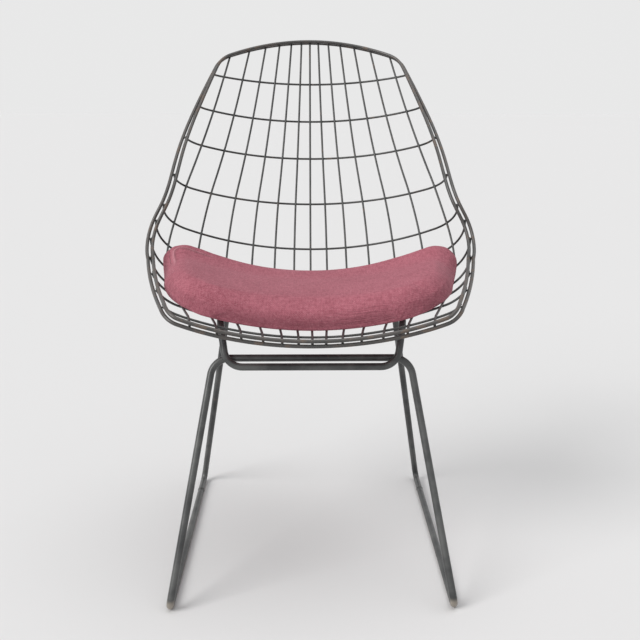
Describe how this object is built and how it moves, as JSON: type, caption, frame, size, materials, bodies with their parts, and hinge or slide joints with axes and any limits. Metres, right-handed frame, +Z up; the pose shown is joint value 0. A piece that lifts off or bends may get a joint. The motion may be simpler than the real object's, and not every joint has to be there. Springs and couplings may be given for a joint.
{
  "type": "wire mesh chair",
  "caption": "Welded wire shell chair: curved grid of long and cross wires between two rims, on a bent rod sled base, with a loose wool seat pad.",
  "frame": {"origin": "on the floor, in the middle of the chair's outline seen from above", "axes": "+X to the chair's own left, +Y to its back, +Z up"},
  "size_m": [0.5308, 0.5587, 0.8352],
  "materials": {
    "mesh_lacquer": "dark grey-green lacquer, slightly worn",
    "rim_lacquer": "dark grey-green lacquer, worn brownish along the edges",
    "rod_lacquer": "dark grey-green lacquer, rubbed bright at the feet",
    "rose_wool": "rose wool, plain weave with lighter flecks"
  },
  "bodies": {
    "chair": {"inner_rim": "rim_lacquer", "outer_rim": "rim_lacquer", "long_wire_centre": "mesh_lacquer", "long_wire_left_1": "mesh_lacquer", "long_wire_left_2": "mesh_lacquer", "long_wire_left_3": "mesh_lacquer", "long_wire_left_4": "mesh_lacquer", "long_wire_left_5": "mesh_lacquer", "long_wire_left_6": "mesh_lacquer", "long_wire_right_1": "mesh_lacquer", "long_wire_right_2": "mesh_lacquer", "long_wire_right_3": "mesh_lacquer", "long_wire_right_4": "mesh_lacquer", "long_wire_right_5": "mesh_lacquer", "long_wire_right_6": "mesh_lacquer", "cross_wire_01": "mesh_lacquer", "cross_wire_02": "mesh_lacquer", "cross_wire_03": "mesh_lacquer", "cross_wire_04": "mesh_lacquer", "cross_wire_05": "mesh_lacquer", "cross_wire_06": "mesh_lacquer", "cross_wire_07": "mesh_lacquer", "cross_wire_08": "mesh_lacquer", "cross_wire_09": "mesh_lacquer", "cross_wire_10": "mesh_lacquer", "cross_wire_11": "mesh_lacquer", "front_leg_frame": "rod_lacquer", "seat_leg_frame": "rod_lacquer"},
    "cushion": {"cushion": "rose_wool"}
  },
  "joints": [
    {"name": "cushion_lift", "type": "slide", "parent": "chair", "child": "cushion", "axis": [0, -0.5, 0.866], "range_m": [0, 0.15]}
  ]
}
